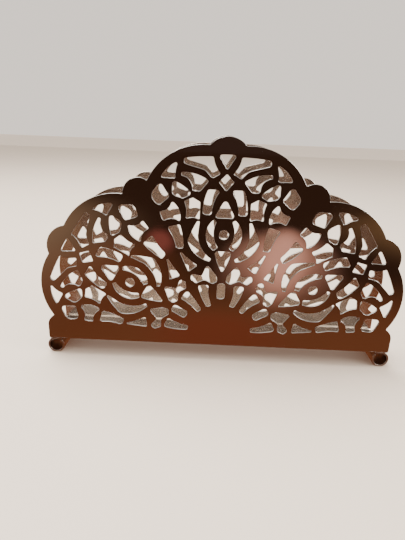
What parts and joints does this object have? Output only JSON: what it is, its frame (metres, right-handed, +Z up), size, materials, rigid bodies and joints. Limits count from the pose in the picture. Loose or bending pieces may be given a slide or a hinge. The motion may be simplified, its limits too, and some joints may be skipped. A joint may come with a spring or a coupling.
{
  "type": "napkin holder",
  "caption": "Fan-shaped openwork napkin holder: upright pierced panels of polished stainless sheet on a folded base with rolled feet.",
  "frame": {"origin": "on the table, midway between the two panels and midway between the two feet", "axes": "+X to the right along the panels, +Y from the front panel to the rear panel, +Z up"},
  "size_m": [0.1498, 0.0224, 0.0942],
  "materials": {
    "polished_panel": "mirror-polished stainless sheet",
    "polished_base": "polished stainless sheet with fine handling scratches",
    "rolled_foot": "polished stainless strip"
  },
  "bodies": {
    "root": {"front_panel": "polished_panel", "rear_panel": "polished_panel", "base_plate": "polished_base", "left_foot": "rolled_foot", "right_foot": "rolled_foot"}
  },
  "joints": []
}
